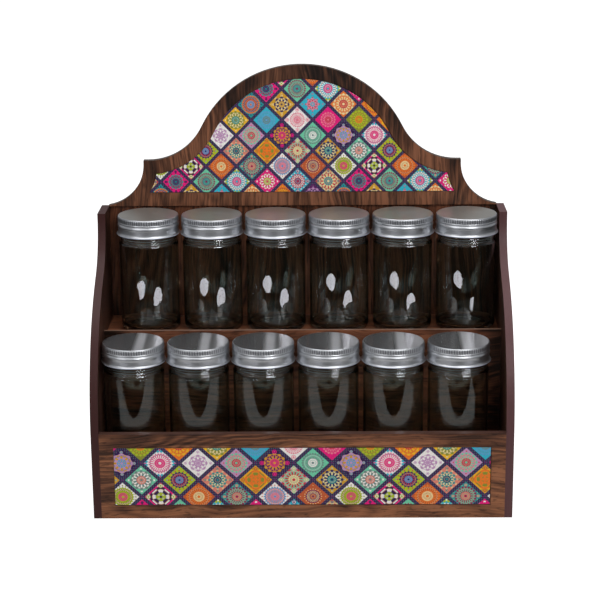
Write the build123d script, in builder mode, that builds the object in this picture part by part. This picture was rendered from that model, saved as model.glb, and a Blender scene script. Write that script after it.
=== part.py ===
"""Two-tier wooden spice rack with twelve glass jars and screw lids.

Millimetres, +Z up, front towards -Y, origin under the middle of the rack on the surface it stands on.
"""

from build123d import *
import math
import os

os.makedirs("parts", exist_ok=True)

# Rack
WIDTH = 420.0
DEPTH = 159.0
BOARD = 8.0
FRONT = -DEPTH / 2
BACK = DEPTH / 2
INNER = WIDTH / 2 - BOARD

# Side panels: an S-shaped front edge of two arcs joined by a short straight
SIDE_HEIGHT = 286.5
SIDE_CURVE_FOOT = 85.0
SIDE_LOWER_RADIUS = 162.0
SIDE_UPPER_RADIUS = 59.0
SIDE_TURN = 58.0
SIDE_STRAIGHT = 17.3

# Fascia, and the shallow recesses that hold the printed tile inlays
FASCIA_HEIGHT = 89.6
INLAY_MARGIN = 14.0
RECESS_DEPTH = 1.4
INLAY_THICKNESS = 1.2
INLAY_PLAY = 0.6
INLAY_SHIFT = -0.4

# Back panel and crest board
BACK_THICKNESS = 3.0
CREST_THICKNESS = 5.0
CREST_FOOT = 287.0
DOME_RADIUS = 116.0
DOME_CENTRE_Z = 317.6
NECK_RADIUS = 62.0
SHOULDER_Z = 335.0
SCOOP_RADIUS = 44.8
SCOOP_CENTRE = (209.0, 332.0)

# Shelves and riser
LOWER_FLOOR = 53.4
UPPER_FLOOR = 166.7
RISER_FRONT = -5.5
RISER_THICKNESS = 3.5
RISER_TOP = 174.6
RISER_GROOVE = 2.0

# Dowels between the side panels and the boards
DOWEL_RADIUS = 2.5
DOWEL_IN_PANEL = 5.0
DOWEL_IN_BOARD = 13.0
GLUE_GAP = 0.1

# Pins through the back panel into the shelves
PIN_RADIUS = 0.8
PIN_HEAD_RADIUS = 1.5
PIN_HEAD = 0.8
PIN_LENGTH = 18.0
PIN_GAP = 0.05
PIN_SPACING = 80.0
PINS_PER_SHELF = 5

# Jars
JAR_HEIGHT = 118.5
JAR_RADIUS = 30.5
JAR_WALL = 2.2
JAR_BASE = 5.0
PUSH_UP = 1.5
PUSH_UP_SLOPE = 3.5
FOOT_RING = 22.5
PUSH_UP_ROUND = 4.0
FOOT_RING_ROUND = 2.0
NECK_RADIUS_OUTER = 28.5
SHOULDER_FOOT = 93.5
NECK_FOOT = 95.7
BEAD_RADIUS = 30.0
BEAD_FOOT = 97.6
BEAD_HEIGHT = 2.5
BEAD_CHAMFER = 0.5
BORE_SLOPE = 5.0
FOOT_ROUND = 5.0
SHOULDER_ROUND = 4.0
INNER_SHOULDER_ROUND = 6.0
NECK_ROUND = 1.5
BEAD_ROUND = 0.5
LIP_ROUND = 0.8

# Screw thread
PITCH = 4.2
THREAD_TURNS = 1.25
THREAD_FOOT = 104.4
THREAD_RISE = 1.4
THREAD_ROOT = 0.3
THREAD_HALF_WIDTH = 0.9
THREAD_CREST = 0.4
LID_THREAD_RISE = 1.3
LID_THREAD_DROP = 1.7

# Lids
LID_TOP = 120.0
LID_HEIGHT = 19.0
LID_RADIUS = 30.75
LID_SHEET = 0.5
LID_RIM_RADIUS = 32.4
LINER_RADIUS = 29.9
LID_EDGE = 0.6
KNURL_FOOT = 5.4
GROOVE = 7.4
GROOVE_DEPTH = 0.8
SKIRT_BULGE = 10.0
BULGE_RISE = 0.45
SKIRT_FOOT = 15.8
RIM_TOP = 17.3
RIM_FOOT = 18.3
RIM_THICKNESS = 0.7

# Where the jars stand: each row's middle x, its y, and its floor
JARS_PER_ROW = 6
JAR_PITCH = 65.1
ROWS = {
    "lower": (-6.2, -38.5, LOWER_FLOOR),
    "upper": (5.3, 35.5, UPPER_FLOOR),
}

LOWER_MID = LOWER_FLOOR - BOARD / 2
UPPER_MID = UPPER_FLOOR - BOARD / 2
FASCIA_MID = FRONT + BOARD / 2
SHELF_BACK = BACK - BACK_THICKNESS
CREST_FRONT = BACK - BACK_THICKNESS - CREST_THICKNESS

# Dowels as (y, z), by the board they enter
DOWELS = {
    "lower_shelf": [(-45, LOWER_MID), (10, LOWER_MID), (62, LOWER_MID)],
    "upper_shelf": [(14, UPPER_MID), (62, UPPER_MID)],
    "fascia_board": [(FASCIA_MID, 22), (FASCIA_MID, 68)],
}


def save(part, name):
    """Label a finished piece and write its STEP file."""
    part.label = name
    export_step(part, f"parts/{name}.step")


def facing_front(y):
    """Plane at depth y that faces the front, with local x along +X and local y up."""
    return Plane.XZ.offset(-y)


def pin_places(height):
    """Pins along one shelf's back edge, as (x, height)."""
    start = -PIN_SPACING * (PINS_PER_SHELF - 1) / 2
    return [(start + i * PIN_SPACING, height) for i in range(PINS_PER_SHELF)]


def side_outline():
    """Side panel's face, with local x as depth and local y as height."""
    turn = math.radians(SIDE_TURN)
    lower_hub = (FRONT + SIDE_LOWER_RADIUS, SIDE_CURVE_FOOT)
    with BuildSketch() as outline:
        with BuildLine():
            lower = CenterArc(lower_hub, SIDE_LOWER_RADIUS, 180, -SIDE_TURN)
            slope = PolarLine(lower @ 1, SIDE_STRAIGHT, 90 - SIDE_TURN)
            upper_hub = slope @ 1 + Vector(-math.cos(turn), math.sin(turn)) * SIDE_UPPER_RADIUS
            upper = CenterArc(upper_hub, SIDE_UPPER_RADIUS, -SIDE_TURN, SIDE_TURN)
            top_front = ((upper @ 1).X, SIDE_HEIGHT)
            Polyline(upper @ 1, top_front, (BACK, SIDE_HEIGHT), (BACK, 0), (FRONT, 0), lower @ 0)
        make_face()
    return outline.sketch


def crest_outline(foot):
    """Crested board's face from the given height up, with local y as height."""
    hub_z = SHOULDER_Z + NECK_RADIUS
    hub_x = math.sqrt((DOME_RADIUS + NECK_RADIUS) ** 2 - (hub_z - DOME_CENTRE_Z) ** 2)
    joint = math.degrees(math.atan2(hub_z - DOME_CENTRE_Z, hub_x))
    scoop_turn = math.degrees(math.acos((SCOOP_CENTRE[0] - INNER) / SCOOP_RADIUS))
    with BuildSketch() as outline:
        with BuildLine():
            CenterArc((0, DOME_CENTRE_Z), DOME_RADIUS, 90, joint - 90)
            neck = CenterArc((hub_x, hub_z), NECK_RADIUS, 180 + joint, 90 - joint)
            scoop = CenterArc(SCOOP_CENTRE, SCOOP_RADIUS, 180, scoop_turn)
            Polyline(neck @ 1, ((scoop @ 0).X, SHOULDER_Z), scoop @ 0)
            Polyline(scoop @ 1, (INNER, foot), (0, foot))
            mirror(about=Plane.YZ)
        make_face()
    return outline.sketch


def make_side_panel(side):
    """Side panel; side is -1 for the left one and 1 for the right one."""
    inner = Plane.YZ.offset(side * INNER)
    riser_mid = (RISER_FRONT + RISER_THICKNESS / 2, (LOWER_FLOOR + RISER_TOP) / 2)
    with BuildPart() as panel:
        with BuildSketch(inner):
            add(side_outline())
        extrude(amount=side * BOARD)
        with BuildSketch(inner):
            with Locations(*[place for places in DOWELS.values() for place in places]):
                Circle(DOWEL_RADIUS + GLUE_GAP)
        extrude(amount=side * DOWEL_IN_PANEL, mode=Mode.SUBTRACT)
        with BuildSketch(inner):
            with Locations(riser_mid):
                Rectangle(RISER_THICKNESS, RISER_TOP - LOWER_FLOOR)
        extrude(amount=side * RISER_GROOVE, mode=Mode.SUBTRACT)
    return panel.part


def make_board(name, front, back, foot, top):
    """Board between the side panels, with dowel holes in both ends."""
    with BuildPart() as board:
        with Locations((0, (front + back) / 2, (foot + top) / 2)):
            Box(2 * INNER, back - front, top - foot)
        for side in (-1, 1):
            with BuildSketch(Plane.YZ.offset(side * INNER)):
                with Locations(*DOWELS[name]):
                    Circle(DOWEL_RADIUS + GLUE_GAP)
            extrude(amount=-side * DOWEL_IN_BOARD, mode=Mode.SUBTRACT)
    return board.part


def make_shelf(name, front, floor):
    """Shelf board, also drilled along its back edge for the pins."""
    board = make_board(name, front, SHELF_BACK, floor - BOARD, floor)
    with BuildPart() as shelf:
        add(board)
        with BuildSketch(facing_front(SHELF_BACK)):
            with Locations(*pin_places(floor - BOARD / 2)):
                Circle(PIN_RADIUS + PIN_GAP)
        extrude(amount=PIN_LENGTH - BACK_THICKNESS, mode=Mode.SUBTRACT)
    return shelf.part


def make_fascia():
    """Front board, with a shallow recess for its tile inlay."""
    board = make_board("fascia_board", FRONT, FRONT + BOARD, 0, FASCIA_HEIGHT)
    with BuildPart() as fascia:
        add(board)
        with BuildSketch(facing_front(FRONT)):
            with Locations((0, FASCIA_HEIGHT / 2)):
                Rectangle(2 * (INNER - INLAY_MARGIN), FASCIA_HEIGHT - 2 * INLAY_MARGIN)
        extrude(amount=-RECESS_DEPTH, mode=Mode.SUBTRACT)
    return fascia.part


def make_fascia_inlay():
    """Printed tile strip that lies in the fascia's recess."""
    margin = INLAY_MARGIN + INLAY_PLAY
    with BuildPart() as inlay:
        with BuildSketch(facing_front(FRONT + RECESS_DEPTH)):
            with Locations((INLAY_SHIFT, FASCIA_HEIGHT / 2)):
                Rectangle(2 * (INNER - margin), FASCIA_HEIGHT - 2 * margin)
        extrude(amount=INLAY_THICKNESS)
    return inlay.part


def make_back_panel():
    """Full-height back panel with the crest's outline, drilled and sunk for the pins."""
    places = pin_places(LOWER_MID) + pin_places(UPPER_MID)
    with BuildPart() as panel:
        with BuildSketch(facing_front(BACK)):
            add(crest_outline(0))
        extrude(amount=BACK_THICKNESS)
        with BuildSketch(facing_front(BACK)):
            with Locations(*places):
                Circle(PIN_RADIUS + PIN_GAP)
        extrude(amount=BACK_THICKNESS, mode=Mode.SUBTRACT)
        with BuildSketch(facing_front(BACK)):
            with Locations(*places):
                Circle(PIN_HEAD_RADIUS + PIN_GAP)
        extrude(amount=PIN_HEAD, mode=Mode.SUBTRACT)
    return panel.part


def make_crest_board():
    """Decorated board glued to the front of the crest, with a recess for its inlay."""
    with BuildPart() as crest:
        with BuildSketch(facing_front(BACK - BACK_THICKNESS)):
            add(crest_outline(CREST_FOOT))
        extrude(amount=CREST_THICKNESS)
        with BuildSketch(facing_front(CREST_FRONT)):
            add(crest_outline(CREST_FOOT))
            offset(amount=-INLAY_MARGIN, kind=Kind.INTERSECTION)
        extrude(amount=-RECESS_DEPTH, mode=Mode.SUBTRACT)
    return crest.part


def make_crest_inlay():
    """Printed tile panel that lies in the crest board's recess."""
    floor = facing_front(CREST_FRONT + RECESS_DEPTH)
    with BuildPart() as inlay:
        with BuildSketch(floor.move(Location((INLAY_SHIFT, 0, 0)))):
            add(crest_outline(CREST_FOOT))
            offset(amount=-INLAY_MARGIN - INLAY_PLAY, kind=Kind.INTERSECTION)
        extrude(amount=INLAY_THICKNESS)
    return inlay.part


def make_riser():
    """Thin board between the two rows, let into a groove in each side panel."""
    with BuildPart() as riser:
        with Locations((0, RISER_FRONT + RISER_THICKNESS / 2, (LOWER_FLOOR + RISER_TOP) / 2)):
            Box(2 * (INNER + RISER_GROOVE), RISER_THICKNESS, RISER_TOP - LOWER_FLOOR)
    return riser.part


def make_dowels(side):
    """All the dowels on one side, as separate solids."""
    with BuildPart() as dowels:
        with BuildSketch(Plane.YZ.offset(side * (INNER - DOWEL_IN_BOARD))):
            with Locations(*[place for places in DOWELS.values() for place in places]):
                Circle(DOWEL_RADIUS)
        extrude(amount=side * (DOWEL_IN_BOARD + DOWEL_IN_PANEL))
    return dowels.part


def make_pins():
    """Flat-headed pins that hold the back panel to the shelves, as separate solids."""
    places = pin_places(LOWER_MID) + pin_places(UPPER_MID)
    with BuildPart() as pins:
        with BuildSketch(facing_front(BACK)):
            with Locations(*places):
                Circle(PIN_HEAD_RADIUS)
        extrude(amount=PIN_HEAD)
        with BuildSketch(facing_front(BACK)):
            with Locations(*places):
                Circle(PIN_RADIUS)
        extrude(amount=PIN_LENGTH)
    return pins.part


def thread_ridge(radius, rise, foot):
    """Helical ridge of a trapezoid section; a negative rise points it at the axis."""
    root = -math.copysign(THREAD_ROOT, rise)
    with BuildPart() as ridge:
        with BuildLine() as path:
            spiral = Helix(PITCH, PITCH * THREAD_TURNS, radius, center=(0, 0, foot))
        with BuildSketch(Plane(origin=spiral @ 0, x_dir=(1, 0, 0), z_dir=spiral % 0)):
            with BuildLine():
                Polyline(
                    (root, -THREAD_HALF_WIDTH),
                    (0, -THREAD_HALF_WIDTH),
                    (rise, -THREAD_CREST),
                    (rise, THREAD_CREST),
                    (0, THREAD_HALF_WIDTH),
                    (root, THREAD_HALF_WIDTH),
                    close=True,
                )
            make_face()
        sweep(path=path.line, is_frenet=True)
    return ridge.part


def make_jar():
    """Glass jar standing on the origin, with a rolled bead and a screw thread on its neck."""
    bore = NECK_RADIUS_OUTER - JAR_WALL
    inside = JAR_RADIUS - JAR_WALL
    bead_top = BEAD_FOOT + BEAD_HEIGHT
    corners = [
        ((0, PUSH_UP), 0),
        ((FOOT_RING - PUSH_UP_SLOPE, PUSH_UP), PUSH_UP_ROUND),
        ((FOOT_RING, 0), FOOT_RING_ROUND),
        ((JAR_RADIUS, 0), FOOT_ROUND),
        ((JAR_RADIUS, SHOULDER_FOOT), SHOULDER_ROUND),
        ((NECK_RADIUS_OUTER, NECK_FOOT), NECK_ROUND),
        ((NECK_RADIUS_OUTER, BEAD_FOOT), BEAD_ROUND),
        ((BEAD_RADIUS, BEAD_FOOT + BEAD_CHAMFER), BEAD_ROUND),
        ((BEAD_RADIUS, bead_top - BEAD_CHAMFER), BEAD_ROUND),
        ((NECK_RADIUS_OUTER, bead_top), BEAD_ROUND),
        ((NECK_RADIUS_OUTER, JAR_HEIGHT), LIP_ROUND),
        ((bore, JAR_HEIGHT), LIP_ROUND),
        ((bore, SHOULDER_FOOT + BORE_SLOPE), FOOT_RING_ROUND),
        ((inside, SHOULDER_FOOT), INNER_SHOULDER_ROUND),
        ((inside, JAR_BASE), FOOT_ROUND),
        ((0, JAR_BASE), 0),
    ]
    with BuildPart() as jar:
        with BuildSketch(Plane.XZ):
            with BuildLine():
                wall = FilletPolyline(*[p for p, _ in corners], radius=[r for _, r in corners[1:-1]])
                Line(wall @ 1, wall @ 0)
            make_face()
        revolve(axis=Axis.Z)
        add(thread_ridge(NECK_RADIUS_OUTER - 0.1, THREAD_RISE, THREAD_FOOT))
    return jar.part


def make_lid():
    """Pressed aluminium screw lid, as it sits on a jar that stands on the origin."""
    skin = LID_RADIUS - LID_SHEET
    foot = LID_TOP - LID_HEIGHT
    with BuildPart() as lid:
        with BuildSketch(Plane.XZ):
            with BuildLine():
                Polyline(
                    (0, LID_TOP),
                    (LID_RADIUS - LID_EDGE, LID_TOP),
                    (LID_RADIUS, LID_TOP - LID_EDGE),
                    (LID_RADIUS, LID_TOP - KNURL_FOOT),
                    (LID_RADIUS + BULGE_RISE, LID_TOP - KNURL_FOOT - LID_EDGE),
                    (LID_RADIUS - GROOVE_DEPTH, LID_TOP - GROOVE),
                    (LID_RADIUS, LID_TOP - GROOVE - GROOVE_DEPTH),
                    (LID_RADIUS + BULGE_RISE, LID_TOP - SKIRT_BULGE),
                    (LID_RADIUS, LID_TOP - SKIRT_FOOT),
                    (LID_RIM_RADIUS, LID_TOP - RIM_TOP),
                    (LID_RIM_RADIUS, LID_TOP - RIM_FOOT),
                    (LID_RIM_RADIUS - RIM_THICKNESS, foot),
                    (skin + LID_SHEET, foot),
                    (skin, foot + LID_EDGE),
                    (skin, LID_TOP - GROOVE - 2 * GROOVE_DEPTH),
                    (skin - GROOVE_DEPTH, LID_TOP - GROOVE),
                    (skin, LID_TOP - GROOVE + 2 * GROOVE_DEPTH),
                    (skin, LID_TOP - LID_SHEET),
                    (0, LID_TOP - LID_SHEET),
                    close=True,
                )
            make_face()
        revolve(axis=Axis.Z)
        add(thread_ridge(skin, -LID_THREAD_RISE, THREAD_FOOT - LID_THREAD_DROP))
    return lid.part


def make_liner():
    """Soft sealing disc under the lid's top, resting on the jar's rim."""
    with BuildPart() as liner:
        with BuildSketch(Plane.XY.offset(JAR_HEIGHT)):
            Circle(LINER_RADIUS)
        extrude(amount=LID_TOP - LID_SHEET - JAR_HEIGHT)
    return liner.part


def fill_row(row, pieces):
    """Write one jar, lid and liner for each place in a row, numbered from the left."""
    middle, depth, floor = ROWS[row]
    for number in range(JARS_PER_ROW):
        x = middle + (number - (JARS_PER_ROW - 1) / 2) * JAR_PITCH
        for kind, piece in pieces.items():
            save(piece.moved(Location((x, depth, floor))), f"{kind}_{row}_{number + 1}")


save(make_side_panel(-1), "left_side_panel")
save(make_side_panel(1), "right_side_panel")
save(make_back_panel(), "back_panel")
save(make_crest_board(), "crest_board")
save(make_crest_inlay(), "crest_tile_inlay")
save(make_fascia(), "fascia_board")
save(make_fascia_inlay(), "fascia_tile_inlay")
save(make_riser(), "riser_board")
save(make_shelf("lower_shelf", FRONT + BOARD, LOWER_FLOOR), "lower_shelf")
save(make_shelf("upper_shelf", RISER_FRONT + RISER_THICKNESS, UPPER_FLOOR), "upper_shelf")
save(make_dowels(-1), "left_dowels")
save(make_dowels(1), "right_dowels")
save(make_pins(), "back_panel_pins")

JAR_SET = {"jar": make_jar(), "lid": make_lid(), "liner": make_liner()}
for row_name in ROWS:
    fill_row(row_name, JAR_SET)
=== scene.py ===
"""Two-tier wooden spice rack with glass jars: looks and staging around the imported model.

Metres, +Z up, front towards -Y. Turned profiles are in millimetres from the jar's foot.
"""

import math

import bpy
from mathutils import Matrix, Vector


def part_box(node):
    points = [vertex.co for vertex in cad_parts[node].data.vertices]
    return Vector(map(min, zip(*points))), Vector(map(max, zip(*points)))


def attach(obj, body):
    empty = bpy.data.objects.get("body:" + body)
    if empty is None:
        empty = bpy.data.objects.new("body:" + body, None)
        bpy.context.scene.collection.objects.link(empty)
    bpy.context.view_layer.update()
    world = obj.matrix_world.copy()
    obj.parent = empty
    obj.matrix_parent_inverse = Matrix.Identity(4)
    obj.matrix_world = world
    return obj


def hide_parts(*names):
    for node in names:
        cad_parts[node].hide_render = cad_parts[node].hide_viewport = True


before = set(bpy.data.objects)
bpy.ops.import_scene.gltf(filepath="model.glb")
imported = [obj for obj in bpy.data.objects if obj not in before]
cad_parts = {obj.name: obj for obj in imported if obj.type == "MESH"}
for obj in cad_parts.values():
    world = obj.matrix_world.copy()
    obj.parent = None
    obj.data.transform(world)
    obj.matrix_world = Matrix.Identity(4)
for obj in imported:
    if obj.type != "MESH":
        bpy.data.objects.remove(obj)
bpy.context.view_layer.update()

MM = 0.001
JAR_KEYS = [f"{row}_{number}" for row in ("lower", "upper") for number in range(1, 7)]


def srgb(red, green, blue):
    """Linear colour, as a shader takes it, from 0-255 display values."""
    parts = [c / 255 for c in (red, green, blue)]
    return tuple(c / 12.92 if c <= 0.04045 else ((c + 0.055) / 1.055) ** 2.4 for c in parts) + (1.0,)


class Graph:
    """One material's node tree, built with short calls. A value is a socket or a constant."""

    def __init__(self, name):
        self.material = bpy.data.materials.new(name)
        self.material.use_nodes = True
        self.tree = self.material.node_tree
        self.tree.nodes.clear()
        coords = self.tree.nodes.new("ShaderNodeTexCoord")
        self.place = coords.outputs["Object"]
        self.normal = coords.outputs["Normal"]

    def feed(self, socket, value):
        if isinstance(value, bpy.types.NodeSocket):
            self.tree.links.new(value, socket)
        else:
            socket.default_value = value

    def node(self, kind, inputs=(), **settings):
        node = self.tree.nodes.new("ShaderNode" + kind)
        for name, value in settings.items():
            setattr(node, name, value)
        pairs = inputs.items() if isinstance(inputs, dict) else enumerate(inputs)
        for key, value in pairs:
            self.feed(node.inputs[key], value)
        return node

    def math(self, operation, *values):
        return self.node("Math", values, operation=operation).outputs[0]

    def plus(self, first, second):
        return self.math("ADD", first, second)

    def minus(self, first, second):
        return self.math("SUBTRACT", first, second)

    def times(self, first, second):
        return self.math("MULTIPLY", first, second)

    def over(self, first, second):
        return self.math("DIVIDE", first, second)

    def split(self, vector):
        return self.node("SeparateXYZ", [vector]).outputs

    def join(self, x, y, z):
        return self.node("CombineXYZ", [x, y, z]).outputs[0]

    def step(self, value, low, high, start=0.0, end=1.0):
        """Smooth step from start to end as value goes from low to high."""
        pairs = {"Value": value, "From Min": low, "From Max": high, "To Min": start, "To Max": end}
        return self.node("MapRange", pairs, interpolation_type="SMOOTHSTEP").outputs[0]

    def mix(self, share, first, second, blend="MIX"):
        node = self.node("Mix", data_type="RGBA", blend_type=blend)
        for index, value in ((0, share), (6, first), (7, second)):
            self.feed(node.inputs[index], value)
        return node.outputs[2]

    def noise(self, vector, scale=1.0, detail=2.0, roughness=0.5):
        pairs = {"Vector": vector, "Scale": scale, "Detail": detail, "Roughness": roughness}
        return self.node("TexNoise", pairs).outputs[0]

    def ramp(self, value, stops, interpolation="LINEAR"):
        """Colour ramp of (position, colour) stops; returns its colour and alpha sockets."""
        node = self.node("ValToRGB", [value])
        band = node.color_ramp
        band.interpolation = interpolation
        while len(band.elements) < len(stops):
            band.elements.new(1.0)
        for element, (position, colour) in zip(band.elements, stops):
            element.position = position
            element.color = colour
        return node.outputs

    def bump(self, height, depth, strength=1.0):
        return self.node("Bump", {"Strength": strength, "Distance": depth, "Height": height}).outputs[0]

    def finish(self, solid=1.0, **sockets):
        """Principled shader with sockets named with _ for a space; see-through where solid is 0."""
        pairs = {name.replace("_", " "): value for name, value in sockets.items()}
        surface = self.node("BsdfPrincipled", pairs).outputs[0]
        if solid != 1.0:
            clear = self.node("BsdfTransparent").outputs[0]
            surface = self.node("MixShader", [solid, clear, surface]).outputs[0]
        output = self.tree.nodes.new("ShaderNodeOutputMaterial")
        self.tree.links.new(surface, output.inputs[0])
        return self.material


# Camera at the photograph's angle
CAMERA_PLACE = (0.02614, -1.72158, 0.70063)
CAMERA_YAW = math.radians(0.94)
CAMERA_PITCH = math.radians(16.061)
CAMERA_ROLL = math.radians(-0.516)
LENS = 105.886


def add_camera():
    data = bpy.data.cameras.new("camera")
    data.lens = LENS
    data.sensor_width = 36.0
    camera = bpy.data.objects.new("camera", data)
    bpy.context.collection.objects.link(camera)
    aim = Matrix.Rotation(CAMERA_YAW, 4, "Z") @ Matrix.Rotation(math.pi / 2 - CAMERA_PITCH, 4, "X")
    camera.matrix_world = Matrix.Translation(CAMERA_PLACE) @ aim @ Matrix.Rotation(CAMERA_ROLL, 4, "Z")
    bpy.context.scene.camera = camera


# Wood
SHEEN = 0.22
GRAIN = {"hills": (3.2, 15.0), "fibre": (8.0, 620.0), "cords": (4.5, 190.0), "pores": (45.0, 1500.0),
         "zones": (2.2, 26.0), "lines": (5.0, 170.0)}  # how fine along and across the grain, a metre
DASH_SPREAD = 430.0
RINGS = 19.0
WAVER = 0.05
# Painted shade: how deep fade darkens, and where boards darken towards their far left and right
PAINTED_SHADE_DEPTH = 0.3
PAINTED_SHADE_ENDS = (0.168, 0.2)


def wood_board(name, along, through, tones, seed, dash, edge, streaks, fade=None, painted_end_shade=0.0):
    """Dark laminate with its grain along one axis; through is its thickness axis.

    fade paints shade between two heights, and the last argument paints shade at far left and right.
    """
    g = Graph(name)
    axes = g.split(g.place)
    across = 3 - along - through
    length = g.plus(axes[along], seed * 1.37)
    width = g.plus(axes[across], seed * 0.71)
    depth = axes[through]
    drift = g.noise(g.join(g.times(length, 5.0), g.times(width, 9.0), seed), detail=3.0)
    width = g.plus(width, g.times(g.minus(drift, 0.5), WAVER))

    def stretched(run, spread, detail=2.0, roughness=0.5):
        vector = g.join(g.times(length, run), g.times(width, spread), g.times(depth, spread))
        return g.noise(vector, detail=detail, roughness=roughness)

    hills = stretched(*GRAIN["hills"], 1.5)
    rings = g.math("PINGPONG", g.times(hills, RINGS), 0.5)
    rings = g.step(rings, 0.0, 0.5)
    fibre = stretched(*GRAIN["fibre"], 4.0, 0.7)
    cords = stretched(*GRAIN["cords"], 3.0, 0.6)
    pores = g.step(stretched(*GRAIN["pores"]), 0.60, 0.74)
    dashes = g.step(stretched(dash, DASH_SPREAD, 2.0, 0.6), 0.53, 0.66)
    zones = stretched(*GRAIN["zones"])
    dark, middle, light = (srgb(*tone) for tone in tones)
    black = srgb(*[0.45 * c for c in tones[0]])
    blend = g.plus(g.times(rings, 0.22), g.times(g.minus(fibre, 0.12), 0.95))
    blend = g.plus(blend, g.times(g.minus(cords, 0.1), 0.6))
    blend = g.plus(blend, g.times(g.minus(zones, 0.5), 0.9))
    # Painted shade, darker above the fade heights
    if fade:
        blend = g.minus(blend, g.step(axes[2], *fade, 0.0, PAINTED_SHADE_DEPTH))
    # Painted shade, darker towards the far left and far right
    if painted_end_shade:
        blend = g.minus(blend, g.step(g.math("ABSOLUTE", axes[0]), *PAINTED_SHADE_ENDS, 0.0, painted_end_shade))
    colour = g.ramp(blend, [(0.12, black), (0.34, dark), (0.58, middle), (0.88, light)])[0]
    lines = g.times(g.step(stretched(*GRAIN["lines"], 3.0), 0.55, 0.68), streaks)
    colour = g.mix(lines, colour, black)
    colour = g.mix(g.times(dashes, 0.5), colour, black)
    colour = g.mix(g.times(pores, 0.5), colour, black)
    facing = g.math("ABSOLUTE", g.split(g.normal)[through])
    rim = g.step(facing, 0.85, 0.35)
    cut = g.mix(g.times(fibre, 0.6), srgb(*edge), srgb(*[0.6 * c for c in edge]))
    colour = g.mix(rim, colour, cut)
    rough = g.plus(g.times(fibre, 0.2), 0.32)
    grain = g.bump(g.minus(fibre, pores), 0.00012, 0.5)
    return g.finish(Base_Color=colour, Roughness=rough, Normal=grain, Specular_IOR_Level=SHEEN)


# Printed tiles
HUES = {
    "night": (38, 16, 70), "navy": (24, 34, 92), "plum": (96, 24, 96), "wine": (150, 18, 78),
    "pink": (236, 20, 122), "blush": (240, 132, 150), "lilac": (196, 150, 190),
    "white": (246, 242, 236), "cream": (238, 220, 160), "yellow": (244, 186, 16),
    "mustard": (214, 160, 26), "orange": (240, 122, 24), "rust": (196, 92, 40),
    "salmon": (228, 136, 112), "lime": (176, 196, 22), "olive": (140, 146, 40),
    "mint": (112, 208, 166), "teal": (20, 150, 150), "cyan": (40, 184, 204),
    "sky": (96, 160, 206), "grey": (110, 140, 132), "tan": (202, 160, 104), "red": (206, 50, 62),
}
# Rows of the patchwork, each tile as: ground, disc, petals, heart, petal count,
# disc radius in tenths, corner size in tenths
TILES = (
    (
        "pink teal wine navy 12 5 2", "mint wine mint teal 24 6 0",
        "lime cyan white pink 20 7 0", "pink pink white lime 12 6 0",
        "cyan red white plum 16 5 3", "tan cream red teal 12 7 2",
    ),
    (
        "teal orange navy sky 24 6 0", "mustard navy cream mustard 8 5 2",
        "cyan blush red cyan 8 4 2", "orange cream orange red 16 7 0",
        "orange rust yellow orange 24 6 0", "plum lilac night lilac 12 6 1",
    ),
    (
        "yellow olive cream teal 12 6 0", "cyan sky cyan grey 24 6 0",
        "white blush white blush 24 5 3", "pink blush pink red 16 5 0",
        "olive lime olive orange 16 6 0", "orange yellow orange red 12 6 0",
    ),
    (
        "white lilac white lilac 8 5 2", "lilac mint blush red 16 6 1",
        "night mustard plum pink 12 6 3", "mint grey mint white 24 6 0",
        "night lilac mustard sky 8 6 2", "cyan white pink pink 24 7 0",
    ),
    (
        "lime navy red sky 16 5 1", "salmon teal cream navy 12 5 2",
        "yellow orange olive orange 4 6 3", "lilac red mint cream 16 7 3",
        "mustard navy cream teal 12 6 1", "mint grey white salmon 12 6 0",
    ),
    (
        "pink night white lime 4 6 3", "rust orange rust cream 24 7 0",
        "teal wine mint salmon 20 6 2", "white sky salmon blush 24 6 0",
        "rust plum cream rust 20 4 1", "white lime olive pink 24 6 0",
    ),
)
TILE_SHARE = 0.855
TILE_ROWS = 6
HALF_ROWS = 3.0
RAMP_TILES = 18
DISC_UNIT = 10
PETAL_UNIT = 24


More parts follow.
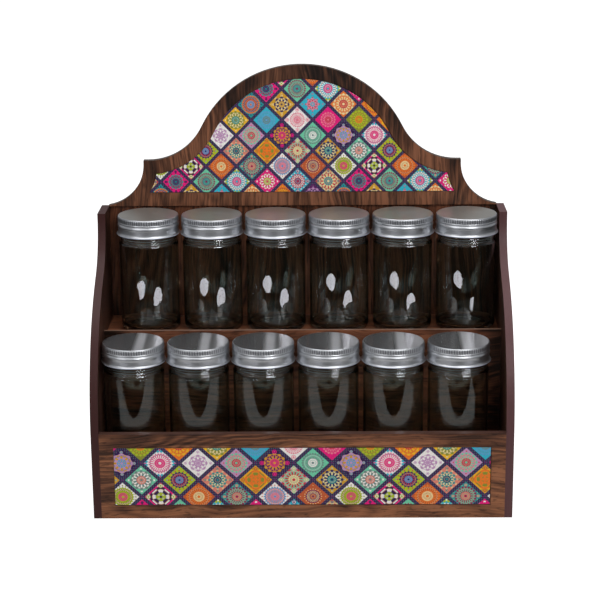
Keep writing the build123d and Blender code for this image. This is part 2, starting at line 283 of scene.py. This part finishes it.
def tile_print(name, origin, across, up):
    """Patchwork of round motifs on a lattice of diamonds; origin is one tile's middle as (x, z)."""
    g = Graph(name)
    x, _, z = g.split(g.place)
    u = g.over(g.minus(x, origin[0]), across)
    v = g.over(g.minus(z, origin[1]), up)
    a = g.plus(u, v)
    b = g.minus(u, v)
    cell_a, cell_b = g.math("ROUND", a), g.math("ROUND", b)
    part_a, part_b = g.minus(a, cell_a), g.minus(b, cell_b)
    column = g.math("FLOORED_MODULO", cell_b, float(TILE_ROWS))
    row = g.math("FLOORED_MODULO", g.plus(g.minus(cell_b, cell_a), HALF_ROWS), float(TILE_ROWS))
    upper = g.math("LESS_THAN", row, HALF_ROWS - 0.5)
    index = g.plus(g.times(g.math("MODULO", row, HALF_ROWS), float(TILE_ROWS)), column)
    position = g.over(g.plus(index, 0.5), float(RAMP_TILES))

    def lookup(field, extra):
        """One colour of the tile, and one number from 0 to 1 that rides in the ramps' alpha."""
        halves = []
        for rows in (TILES[:3], TILES[3:]):
            words = [tile.split() for line in rows for tile in line]
            stops = [
                (i / RAMP_TILES, srgb(*HUES[w[field]])[:3] + (extra(w),)) for i, w in enumerate(words)
            ]
            halves.append(g.ramp(position, stops, "CONSTANT"))
        colour = g.mix(upper, halves[1][0], halves[0][0])
        number = g.plus(halves[1][1], g.times(upper, g.minus(halves[0][1], halves[1][1])))
        return colour, number

    def length_of(first, second):
        return g.math("SQRT", g.plus(g.times(first, first), g.times(second, second)))

    ground, reach = lookup(0, lambda w: int(w[5]) / DISC_UNIT)
    disc, count = lookup(1, lambda w: int(w[4]) / PETAL_UNIT)
    petal, corner = lookup(2, lambda w: int(w[6]) / DISC_UNIT)
    heart, _ = lookup(3, lambda w: 1.0)
    count = g.math("ROUND", g.times(count, float(PETAL_UNIT)))
    right = g.plus(part_a, part_b)
    rise = g.minus(part_a, part_b)
    radius = g.over(length_of(right, rise), TILE_SHARE)
    angle = g.math("ARCTAN2", rise, right)
    wave = g.math("COSINE", g.times(angle, count))
    edge = g.times(reach, g.plus(1.1, g.times(wave, 0.065)))
    share = g.over(radius, edge)

    def ring(low, high):
        return g.times(g.step(share, low - 0.03, low + 0.03), g.step(share, high + 0.03, high - 0.03))

    def spokes(low, high, phase=1.0, width=0.0):
        return g.times(ring(low, high), g.step(g.times(wave, phase), width, width + 0.4))

    colour = g.mix(g.step(share, 1.03, 0.97), ground, disc)
    colour = g.mix(spokes(1.06, 1.2, 1.0, 0.3), colour, petal)
    colour = g.mix(spokes(0.80, 0.94, -1.0), colour, petal)
    colour = g.mix(spokes(0.46, 0.76), colour, petal)
    colour = g.mix(ring(0.74, 0.79), colour, g.mix(0.5, ground, heart))
    colour = g.mix(g.step(share, 0.47, 0.41), colour, heart)
    colour = g.mix(spokes(0.22, 0.36, -1.0), colour, g.mix(0.35, petal, disc))
    colour = g.mix(g.step(share, 0.15, 0.10), colour, disc)
    side = g.math("ABSOLUTE", right)
    tall = g.math("ABSOLUTE", rise)
    far = g.math("MAXIMUM", side, tall)
    near = g.math("MINIMUM", side, tall)
    tip = length_of(g.minus(far, 0.66), near)
    tip = g.over(tip, g.plus(g.times(corner, 0.42), 0.0001))
    colour = g.mix(g.step(tip, 1.05, 0.9), colour, heart)
    colour = g.mix(g.times(g.step(tip, 0.4, 0.5), g.step(tip, 0.75, 0.65)), colour, petal)

    half_a, half_b = g.math("ABSOLUTE", part_a), g.math("ABSOLUTE", part_b)
    reach_out = g.math("MAXIMUM", half_a, half_b)
    band = g.step(reach_out, TILE_SHARE / 2 - 0.008, TILE_SHARE / 2 + 0.008)
    run = g.math("FRACT", g.times(g.plus(a, b), 9.0))
    run_other = g.math("FRACT", g.times(g.minus(a, b), 9.0))
    checks = g.times(g.step(run, 0.35, 0.5), g.step(run_other, 0.35, 0.5))
    stitches = g.mix(g.step(run, 0.7, 0.8), srgb(*HUES["teal"]), srgb(*HUES["wine"]))
    beads = g.mix(g.times(checks, 0.6), srgb(*HUES["night"]), stitches)
    node_gap = g.math("MINIMUM", half_a, half_b)
    crossing = g.step(node_gap, 0.455, 0.475)
    beads = g.mix(crossing, beads, srgb(*HUES["plum"]))
    colour = g.mix(band, colour, beads)
    fleck = g.noise(g.place, 2600.0, 2.0, 0.6)
    colour = g.mix(g.times(g.step(fleck, 0.38, 0.66), 0.42), colour, srgb(70, 36, 70))
    print_edge = g.step(g.math("ABSOLUTE", g.split(g.normal)[1]), 0.85, 0.35)
    colour = g.mix(print_edge, colour, srgb(40, 26, 24))
    rough = g.step(g.noise(g.place, 900.0, 2.0), 0.3, 0.7, 0.34, 0.44)
    tooth = g.bump(fleck, 0.00003, 0.4)
    return g.finish(Base_Color=colour, Roughness=rough, Normal=tooth, Specular_IOR_Level=SHEEN)


# Metal, lacquer, glass, foam
KNURLS = 76
KNURL_FOOT = 0.1146
KNURL_TOP = 0.1190
KNURL_FADE = 0.0004
BRUSH = (60.0, 4200.0, 3000.0)
METAL_DEPTH = 0.00001
SIDE_TONES = ((182, 184, 188), (214, 216, 220))
LOWER_TOP_TONES = ((178, 178, 182), (204, 204, 208))
# Upper tops: darker, warmer tones of the same metal, a painted reflection of the crest board behind
# them
UPPER_TOP_PAINTED_TONES = ((150, 147, 141), (176, 172, 166))
GREY_WEAR = (160, 160, 160)
BAND_SHADE = (96, 96, 96)
VALLEY_SHADE = (80, 82, 88)


def aluminium(name, brushed, rough_range, tones, painted_reflection=False):
    """Satin metal.

    brushed is for the lid's flat top, with brush lines from left to right, and the last argument
    paints a reflection on it: a darker ground with lighter, rougher stripes across it.
    """
    g = Graph(name)
    x, y, z = g.split(g.place)
    strokes = g.join(*[g.times(axis, scale) for axis, scale in zip((x, y, z), BRUSH)])
    fine = g.noise(strokes, 1.0, 3.0, 0.6)
    broad = g.noise(g.place, 90.0, 3.0)
    colour = g.ramp(fine, [(0.25, srgb(*tones[0])), (0.75, srgb(*tones[1]))])[0]
    colour = g.mix(g.times(broad, 0.2), colour, srgb(*GREY_WEAR))
    level = g.plus(g.times(fine, 0.7), g.times(broad, 0.3))
    rough = g.step(level, 0.3, 0.7, *rough_range)
    if painted_reflection:
        # Painted reflection: a darker ground with lighter, rougher stripes across the top; they turn
        # with the lid
        reflection_bands = g.times(g.step(x, -0.001, 0.006), g.step(x, 0.016, 0.009))
        reflection_bands = g.math("MAXIMUM", reflection_bands, g.step(x, 0.008, 0.026, 0.0, 0.8))
        colour = g.mix(g.step(reflection_bands, 0.0, 1.0, 0.55, 0.0), colour, srgb(*BAND_SHADE))
        rough = g.plus(rough, g.times(reflection_bands, 0.1))
    if brushed:
        tangent = g.node("Tangent", direction_type="RADIAL", axis="X").outputs[0]
        dent = g.bump(fine, METAL_DEPTH, 0.06)
        return g.finish(
            Base_Color=colour,
            Metallic=1.0,
            Roughness=rough,
            Anisotropic=0.85,
            Normal=dent,
            Tangent=tangent,
        )
    ribs = g.math("COSINE", g.times(g.math("ARCTAN2", y, x), float(KNURLS)))
    above = g.step(z, KNURL_FOOT, KNURL_FOOT + KNURL_FADE)
    below = g.step(z, KNURL_TOP, KNURL_TOP - KNURL_FADE)
    valley = g.times(g.step(ribs, 0.1, -0.7), g.times(above, below))
    colour = g.mix(g.times(valley, 0.65), colour, srgb(*VALLEY_SHADE))
    dent = g.bump(fine, METAL_DEPTH, 0.25)
    return g.finish(Base_Color=colour, Metallic=1.0, Roughness=rough, Normal=dent)


def lacquer():
    """White coating of the rolled rim and the inside of the lid."""
    g = Graph("white_lacquer")
    fleck = g.noise(g.place, 1400.0, 3.0)
    colour = g.ramp(fleck, [(0.3, srgb(160, 163, 182)), (0.7, srgb(184, 188, 206))])[0]
    rough = g.step(fleck, 0.3, 0.7, 0.26, 0.36)
    return g.finish(Base_Color=colour, Roughness=rough, Normal=g.bump(fleck, 0.00003, 0.4))


GLASS_TINT = (231, 240, 235)
RIPPLE = (55.0, 55.0, 16.0)


def glass():
    """Clear glass with faint smudges, and with ripples that run up and down."""
    g = Graph("clear_glass")
    smudge = g.noise(g.place, 60.0, 4.0, 0.6)
    rough = g.step(smudge, 0.45, 0.8, 0.0, 0.035)
    waves = g.join(*[g.times(axis, scale) for axis, scale in zip(g.split(g.place), RIPPLE)])
    ripple = g.noise(waves, 1.0, 1.0)
    return g.finish(
        Base_Color=srgb(*GLASS_TINT),
        Roughness=rough,
        Transmission_Weight=1.0,
        IOR=1.5,
        Normal=g.bump(ripple, 0.0012, 0.12),
    )


def foam():
    """Sealing liner inside the lid."""
    g = Graph("liner_foam")
    cells = g.noise(g.place, 1600.0, 4.0, 0.7)
    colour = g.ramp(cells, [(0.3, srgb(206, 206, 202)), (0.7, srgb(236, 236, 232))])[0]
    return g.finish(Base_Color=colour, Roughness=0.85, Normal=g.bump(cells, 0.0001, 0.6))


def beech():
    """Pale dowel wood, with its fibres along X."""
    g = Graph("beech")
    x, y, z = g.split(g.place)
    fibre = g.noise(g.join(g.times(x, 60.0), g.times(y, 1800.0), g.times(z, 1800.0)), 1.0, 3.0)
    colour = g.ramp(fibre, [(0.3, srgb(176, 136, 96)), (0.7, srgb(214, 180, 136))])[0]
    return g.finish(Base_Color=colour, Roughness=0.6, Normal=g.bump(fibre, 0.00008, 0.5))


def pin_steel():
    """Scratched steel of the back panel's pins."""
    g = Graph("pin_steel")
    scratch = g.noise(g.place, 3000.0, 3.0)
    colour = g.ramp(scratch, [(0.3, srgb(150, 150, 152)), (0.7, srgb(206, 206, 208))])[0]
    dent = g.bump(scratch, 0.00003, 0.4)
    return g.finish(Base_Color=colour, Metallic=1.0, Roughness=0.3, Normal=dent)


# Turned pieces
ON_AXIS = 1e-6


def lathe(name, profile, segments, radius_at, materials, slots=None):
    """Closed turned mesh from (radius, height) points in millimetres.

    radius_at bends a point's radius by its angle, and slots names each ring's material.
    """
    vertices, faces, ring_starts = [], [], []
    for index, (radius, height) in enumerate(profile):
        ring_starts.append(len(vertices))
        if radius < ON_AXIS:
            vertices.append((0.0, 0.0, height * MM))
            continue
        for step in range(segments):
            angle = 2 * math.pi * step / segments
            reach = radius_at(index, radius, height, angle) * MM
            vertices.append((reach * math.cos(angle), reach * math.sin(angle), height * MM))
    kinds = []
    for index in range(len(profile) - 1):
        low, high = ring_starts[index], ring_starts[index + 1]
        lone_low, lone_high = (profile[i][0] < ON_AXIS for i in (index, index + 1))
        for step in range(segments):
            after = (step + 1) % segments
            if lone_low:
                faces.append((low, high + after, high + step))
            elif lone_high:
                faces.append((low + step, low + after, high))
            else:
                faces.append((low + step, low + after, high + after, high + step))
            kinds.append(slots[index] if slots else 0)
    mesh = bpy.data.meshes.new(name)
    mesh.from_pydata(vertices, [], faces)
    for material in materials:
        mesh.materials.append(material)
    mesh.polygons.foreach_set("material_index", kinds)
    mesh.polygons.foreach_set("use_smooth", [True] * len(faces))
    mesh.update()
    return mesh


def arc(centre, radius, start, end, steps):
    """Points on a circle round a profile corner, from angle start to end in degrees."""
    turns = [math.radians(start + (end - start) * i / steps) for i in range(steps + 1)]
    return [(centre[0] + radius * math.cos(t), centre[1] + radius * math.sin(t)) for t in turns]


def rows(start, end, steps):
    """Evenly spaced points between two profile points, without the last."""
    widths, heights = (
        [start[axis] + (end[axis] - start[axis]) * i / steps for i in range(steps)] for axis in (0, 1)
    )
    return list(zip(widths, heights))


THREAD_PITCH = 4.2
THREAD_TURNS = 1.25
THREAD_LAPS = 3
THREAD_RUN_OUT = 0.06
RIDGE_FOOT = 0.9
RIDGE_CREST = 0.4


def thread_height(height, angle, foot):
    """How far a helical ridge that starts at height foot stands up, from 0 to 1."""
    best = 0.0
    for lap in range(THREAD_LAPS):
        turn = angle / (2 * math.pi) + lap
        if turn > THREAD_TURNS:
            continue
        fade = min(1.0, turn / THREAD_RUN_OUT, (THREAD_TURNS - turn) / THREAD_RUN_OUT)
        offset = abs(height - foot - THREAD_PITCH * turn)
        slope = (RIDGE_FOOT - offset) / (RIDGE_FOOT - RIDGE_CREST)
        best = max(best, fade * min(1.0, max(0.0, slope)))
    return best


JAR_SEGMENTS = 144
JAR_THREAD_FOOT = 104.4
JAR_THREAD_DEPTH = 1.3
JAR_THREAD_BAND = (101, 113)
JAR_BORE = 28
SWELL_FOOT = 5
SWELL_RISE = 20


def jar_mesh(material):
    """Hollow jar with a pushed-up bottom, two neck rings, a thread and a round lip."""
    base = [(0, 1.5), (8, 1.5), (15, 1.4), (18.4, 0.9), (20.6, 0.25), (22.5, 0.0), (24, 0.0)]
    heel = arc((25.5, 5.0), 5.0, -90, 0, 8)
    body = rows((30.5, 6.5), (30.5, 91.0), 26) + arc((28.3, 91.3), 2.2, 5, 60, 5)
    lower_ring = [(28.6, 94.0), (28.5, 94.6)] + arc((28.2, 95.6), 0.8, -68, 68, 7)
    upper_ring = [(28.5, 96.6), (28.5, 97.3)] + arc((28.7, 98.6), 1.1, -75, 75, 9)
    finish = [(28.62, 100.3), (28.5, 100.8)] + rows((28.5, 101.4), (28.5, 112.0), 34)
    lip = rows((28.5, 112.0), (28.5, 117.6), 4) + arc((27.6, 117.6), 0.9, 0, 90, 4)
    lip += arc((27.2, 117.6), 0.9, 90, 180, 4)
    inner_neck = rows((26.3, 117.0), (26.3, 96.6), 10)
    inner_neck += [(26.5, 95.6), (27.1, 94.7), (27.8, 93.8), (28.2, 92.9), (28.3, 92.0)]
    inner_wall = rows((28.3, 91.0), (28.3, 11.0), 30)
    floor = arc((23.3, 10.0), 5.0, 0, -90, 9) + [(18, 4.95), (9, 4.85), (0, 4.8)]
    outer = base + heel + body + lower_ring + upper_ring + finish + lip
    profile = outer + inner_neck + inner_wall + floor
    inner_start = len(profile) - len(floor) - len(inner_wall)

    def radius_at(index, radius, height, angle):
        if radius <= JAR_BORE:
            return radius
        if index >= inner_start:
            swell = 0.05 * math.sin(3 * angle + height / 17) + 0.03 * math.sin(5 * angle - height / 11)
            return radius + swell * min(1.0, (height - SWELL_FOOT) / SWELL_RISE)
        if JAR_THREAD_BAND[0] < height < JAR_THREAD_BAND[1]:
            return radius + JAR_THREAD_DEPTH * thread_height(height, angle, JAR_THREAD_FOOT)
        return radius

    return lathe("jar_glass", profile, JAR_SEGMENTS, radius_at, [material])


LID_SEGMENTS = KNURLS * 4
LID_THREAD_FOOT = 102.7
LID_THREAD_DEPTH = 1.2
LID_THREAD_BAND = (101.5, 109.3)
LID_BORE = 30
KNURL_BAND = (114.6, 118.9)
KNURL_RISE = 0.45
WHITE_CURL_RINGS = 5
TOP_RINGS = 4


def lid_mesh(metal, white, brushed):
    """Screw lid: brushed top, knurled band, groove, bulge, and a rolled rim; its inside is white."""
    top = [(0, 120.0), (10, 120.0), (20, 120.0), (28.9, 120.0)]
    shoulder = arc((29.9, 119.15), 0.85, 90, 10, 5)
    knurl = [(30.72, 119.1), (30.6, 118.95)] + rows((30.6, 118.85), (30.6, 114.7), 6)
    groove = [(30.6, 114.7), (30.75, 114.4), (31.0, 114.2), (31.1, 113.9), (30.9, 113.5)]
    groove += [(30.3, 113.0), (29.95, 112.6), (30.1, 112.2), (30.6, 111.85)]
    bulge = [(30.95, 111.4), (31.15, 110.8), (31.2, 110.2), (31.2, 109.6)]
    bulge += [(31.05, 108.9), (30.85, 108.2), (30.75, 107.6)]
    skirt = rows((30.75, 107.2), (30.85, 103.8), 4) + [(30.92, 103.2), (31.15, 102.6)]
    curl = arc((31.85, 101.6), 0.55, 100, -90, 9)
    under = [(30.9, 101.1), (30.7, 101.5), (30.4, 101.9)] + rows((30.25, 102.2), (30.25, 109.0), 24)
    inside = [(30.25, 110.5), (30.1, 111.3), (29.7, 112.0), (29.45, 112.6)]
    inside += [(29.7, 113.3), (30.25, 114.0), (30.25, 117.5)]
    ceiling = [(30.2, 118.6), (29.9, 119.3), (29.2, 119.5), (20, 119.5), (10, 119.5), (0, 119.5)]
    outer = top + shoulder + knurl + groove + bulge + skirt + curl
    profile = list(reversed(outer + under + inside + ceiling))
    outside = len(ceiling) + len(inside) + len(under)

    def radius_at(index, radius, height, angle):
        if radius <= LID_BORE:
            return radius
        if index >= outside and KNURL_BAND[0] < height < KNURL_BAND[1]:
            rib = 0.5 + 0.5 * math.cos(KNURLS * angle)
            return radius + KNURL_RISE * rib ** 1.5
        if index < outside and LID_THREAD_BAND[0] < height < LID_THREAD_BAND[1]:
            return radius - LID_THREAD_DEPTH * thread_height(height, angle, LID_THREAD_FOOT)
        return radius

    slots = [1 if i < outside + WHITE_CURL_RINGS else 0 for i in range(len(profile) - 1)]
    slots[-TOP_RINGS:] = [2] * TOP_RINGS
    return lathe("lid_shell", profile, LID_SEGMENTS, radius_at, [metal, white, brushed], slots)


def place_copies(kind, meshes):
    """One piece per jar place, for that jar's or lid's CAD node; meshes holds one for each row."""
    pieces = []
    for key in JAR_KEYS:
        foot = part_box(f"jar_{key}")[0].z
        piece = bpy.data.objects.new(f"{kind}_shape_{key}", meshes[key.split("_")[0]])
        bpy.context.collection.objects.link(piece)
        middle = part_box(f"liner_{key}")
        piece.location = ((middle[0].x + middle[1].x) / 2, (middle[0].y + middle[1].y) / 2, foot)
        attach(piece, f"{kind}_{key}")
        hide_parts(f"{kind}_{key}")
        pieces.append(piece)
    return pieces


# Boards: dark, middle and light tones of each part of the rack
CREST = ((38, 24, 18), (84, 52, 36), (128, 82, 58))
FASCIA = ((44, 27, 19), (95, 59, 41), (142, 92, 63))
BACK = ((38, 23, 16), (84, 49, 33), (128, 77, 53))
# Side panels are darker than the other boards of the same laminate: painted shade of their shaded inner
# faces
SIDES = ((28, 17, 14), (52, 32, 24), (76, 47, 36))
RISER = ((44, 26, 17), (92, 55, 38), (130, 80, 55))
# CAD node: grain axis, thickness axis, tones, seed, dashes a metre, edge colour, streaks,
# # fade and left-right darkening, both painted shade
BOARDS = {
    "crest_board": (2, 1, CREST, 3.1, 42.0, (78, 64, 55), 0.5, (0.35, 0.42)),
    "back_panel": (2, 1, BACK, 5.3, 42.0, (66, 46, 38), 0.5, None, 0.25),
    # Edge colours: the right side panel's is lighter than the left's, painted light and shade for light
    # from the right
    "left_side_panel": (2, 0, SIDES, 1.7, 42.0, (64, 34, 32), 0.5),
    "right_side_panel": (2, 0, SIDES, 7.9, 42.0, (92, 60, 61), 0.5),
    "fascia_board": (0, 1, FASCIA, 2.3, 95.0, (80, 54, 46), 0.5, (0.05, 0.12)),
    "riser_board": (0, 1, RISER, 4.9, 60.0, (128, 98, 82), 0.4, None, 0.4),
    "lower_shelf": (0, 2, RISER, 6.1, 60.0, (60, 42, 36), 0.4),
    "upper_shelf": (0, 2, RISER, 8.3, 60.0, (60, 42, 36), 0.4),
}
BEVEL = 0.0005
THIN_BEVEL = 0.0002
BEVEL_ANGLE = math.radians(50)


def dress(node, material, bevel=0.0):
    """Give a CAD node its material, and softly round its edges."""
    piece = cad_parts[node]
    piece.data.materials.clear()
    piece.data.materials.append(material)
    if bevel:
        rounding = piece.modifiers.new("soft_edges", "BEVEL")
        rounding.width = bevel
        rounding.segments = 2
        rounding.limit_method = "ANGLE"
        rounding.angle_limit = BEVEL_ANGLE
        rounding.harden_normals = True


# Light
def hide(piece, *rays):
    """Hide a piece or a light from the named kinds of rays."""
    for kind in rays:
        setattr(piece, "visible_" + kind, False)


def softbox(name, place, target, size, power):
    """White rectangular light that clear glass doesn't show through itself."""
    data = bpy.data.lights.new(name, "AREA")
    data.shape = "RECTANGLE"
    data.size, data.size_y = size
    data.energy = power
    lamp = bpy.data.objects.new(name, data)
    bpy.context.collection.objects.link(lamp)
    lamp.location = place
    lamp.rotation_euler = (Vector(target) - Vector(place)).to_track_quat("-Z", "Y").to_euler()
    hide(lamp, "camera", "transmission")


def straight_view(tree):
    """Socket that is 1 on a line of sight, also through clear glass, and 0 after a reflection."""
    rays = tree.nodes.new("ShaderNodeLightPath")
    bounces = tree.nodes.new("ShaderNodeMath")
    bounces.operation = "ADD"
    tree.links.new(rays.outputs["Glossy Depth"], bounces.inputs[0])
    tree.links.new(rays.outputs["Diffuse Depth"], bounces.inputs[1])
    unbroken = tree.nodes.new("ShaderNodeMath")
    unbroken.operation = "LESS_THAN"
    tree.links.new(bounces.outputs[0], unbroken.inputs[0])
    unbroken.inputs[1].default_value = 0.5
    return unbroken.outputs[0]


SKY = (0.95, 0.97, 1.0, 1.0)


def add_world(ambient, seen):
    """Pale surroundings: seen is their strength in a straight view, ambient for all else."""
    world = bpy.data.worlds.new("studio")
    world.use_nodes = True
    tree = world.node_tree
    background = tree.nodes["Background"]
    background.inputs["Color"].default_value = SKY
    level = tree.nodes.new("ShaderNodeMapRange")
    level.inputs["To Min"].default_value = ambient
    level.inputs["To Max"].default_value = seen
    tree.links.new(straight_view(tree), level.inputs["Value"])
    tree.links.new(level.outputs[0], background.inputs["Strength"])
    bpy.context.scene.world = world


def flat_sheet(name, corners, height, material):
    """Level staging sheet between two corners."""
    mesh = bpy.data.meshes.new(name)
    (x0, y0), (x1, y1) = corners
    outline = [(x0, y0), (x1, y0), (x1, y1), (x0, y1)]
    mesh.from_pydata([(x, y, height) for x, y in outline], [], [(0, 1, 2, 3)])
    mesh.materials.append(material)
    sheet = bpy.data.objects.new(name, mesh)
    bpy.context.collection.objects.link(sheet)
    return sheet


def tooth_tone(g, scale, detail, dark, light):
    """Faintly uneven colour between two linear ones."""
    tooth = g.noise(g.place, scale, detail)
    return g.ramp(tooth, [(0.3, dark + (1.0,)), (0.7, light + (1.0,))])[0]


FLOOR = ((-12, -12), (12, 12))
FLOOR_HEIGHT = -0.0002
FLOOR_GLOW = 0.9
TABLE = ((-0.6, -0.358), (0.5, 1.0))
TABLE_HEIGHT = -0.0004
PAPER = {"Roughness": 0.9, "Specular_IOR_Level": 0.1}
PAPER_SCALE = 40.0
ROOM = ((-30, -30), (30, 30))
ROOM_HEIGHT = -3.0
ROOM_SCALE = 4.0


def add_floor():
    """Wide pale floor for straight views, and a table under it for light and reflections."""
    g = Graph("paper_floor")
    tone = tooth_tone(g, PAPER_SCALE, 3.0, (0.54, 0.54, 0.54), (0.58, 0.58, 0.58))
    glow = {"Emission_Color": (1, 1, 1, 1), "Emission_Strength": FLOOR_GLOW}
    paper = g.finish(straight_view(g.tree), Base_Color=tone, **PAPER, **glow)
    hide(flat_sheet("floor", FLOOR, FLOOR_HEIGHT, paper), "diffuse", "glossy", "shadow")
    g = Graph("paper_table")
    tone = tooth_tone(g, PAPER_SCALE, 3.0, (0.48, 0.47, 0.46), (0.52, 0.51, 0.5))
    table = flat_sheet("table", TABLE, TABLE_HEIGHT, g.finish(Base_Color=tone, **PAPER))
    hide(table, "camera", "shadow")


def add_dark_room():
    """Black sheet far below the table, seen only in reflections, which keeps the glass dark."""
    g = Graph("dark_room")
    tone = tooth_tone(g, ROOM_SCALE, 2.0, (0.004, 0.004, 0.004), (0.008, 0.008, 0.008))
    black = g.finish(Base_Color=tone, Roughness=1.0, Specular_IOR_Level=0.0)
    hide(flat_sheet("dark_room", ROOM, ROOM_HEIGHT, black), "camera", "diffuse", "shadow")


GLINT_REACH = 8.0
GLINT_SPREAD = 18.0
GLINT_STEPS = 48
GLINT_COLOUR = (0.93, 0.92, 1.0, 1.0)
GLINT_TIP = 0.001


def add_glint(name, azimuth, middle, rise, strength, receivers=None):
    """Curved far-off oval card that glows, centred at height middle.

    Glass and metal mirror it, or only the receivers do if there are any; it lights nothing else.
    """
    vertices = []
    for step in range(GLINT_STEPS + 1):
        share = 2 * step / GLINT_STEPS - 1
        turn = math.radians(azimuth + GLINT_SPREAD * share)
        half = rise * math.sqrt(max(0.0, 1 - share * share)) + GLINT_TIP
        for z in (middle - half, middle + half):
            vertices.append((GLINT_REACH * math.sin(turn), -GLINT_REACH * math.cos(turn), z))
    faces = [(2 * i, 2 * i + 1, 2 * i + 3, 2 * i + 2) for i in range(GLINT_STEPS)]
    g = Graph(name)
    cloud = g.noise(g.place, 0.6, 2.0)
    glow = g.step(cloud, 0.3, 0.7, 0.9 * strength, 1.1 * strength)
    card = g.finish(Base_Color=(0, 0, 0, 1), Emission_Color=GLINT_COLOUR, Emission_Strength=glow)
    mesh = bpy.data.meshes.new(name)
    mesh.from_pydata(vertices, [], faces)
    mesh.materials.append(card)
    piece = bpy.data.objects.new(name, mesh)
    bpy.context.collection.objects.link(piece)
    hide(piece, "camera", "diffuse", "transmission", "shadow")
    if receivers:
        group = bpy.data.collections.new(name)
        for receiver in receivers:
            group.objects.link(receiver)
        piece.light_linking.receiver_collection = group


# Printed inlays: CAD node, material, one tile's middle, half a tile's width and height
PRINTS = (
    ("crest_tile_inlay", "crest_print", (-0.0836, 0.3608), 0.03166, 0.03218),
    ("fascia_tile_inlay", "fascia_print", (-0.1038, 0.0591), 0.0381, 0.0359),
)

add_camera()
for node, looks in BOARDS.items():
    dress(node, wood_board(node, *looks), BEVEL)
for node, *layout in PRINTS:
    dress(node, tile_print(*layout), THIN_BEVEL)
dowel_wood = beech()
dress("left_dowels", dowel_wood)
dress("right_dowels", dowel_wood)
dress("back_panel_pins", pin_steel())
liner_finish = foam()
for key in JAR_KEYS:
    dress(f"liner_{key}", liner_finish, THIN_BEVEL)
side_metal = aluminium("lid_side", False, (0.3, 0.4), SIDE_TONES)
white_lacquer = lacquer()
tops = {
    # Lower tops carry painted reflection stripes, upper tops warmer tones of painted reflection
    "lower": aluminium("lid_top_lower", True, (0.25, 0.27), LOWER_TOP_TONES, True),
    "upper": aluminium("lid_top_upper", True, (0.28, 0.31), UPPER_TOP_PAINTED_TONES),
}
lid_shells = {row: lid_mesh(side_metal, white_lacquer, top) for row, top in tops.items()}
place_copies("lid", lid_shells)
glass_jar = jar_mesh(glass())
jars = place_copies("jar", {"lower": glass_jar, "upper": glass_jar})

add_floor()
add_dark_room()
add_world(0.35, 1.06)
softbox("overhead", (0.0, -0.15, 1.5), (0.0, 0.0, 0.2), (1.6, 1.2), 15.0)
softbox("key_right", (0.62, -1.25, 1.05), (0.0, 0.0, 0.22), (0.75, 0.6), 10.5)
softbox("fill_left", (-1.1, -1.1, 0.9), (0.0, 0.0, 0.22), (0.6, 0.8), 4.0)
add_glint("glint_left", -33.0, -2.005, 0.052, 11.0)
add_glint("glint_right", 33.0, -2.09, 0.052, 11.0)
add_glint("glint_tall", 30.0, 3.4, 3.2, 22.0, jars)
bpy.context.scene.view_settings.view_transform = "Standard"
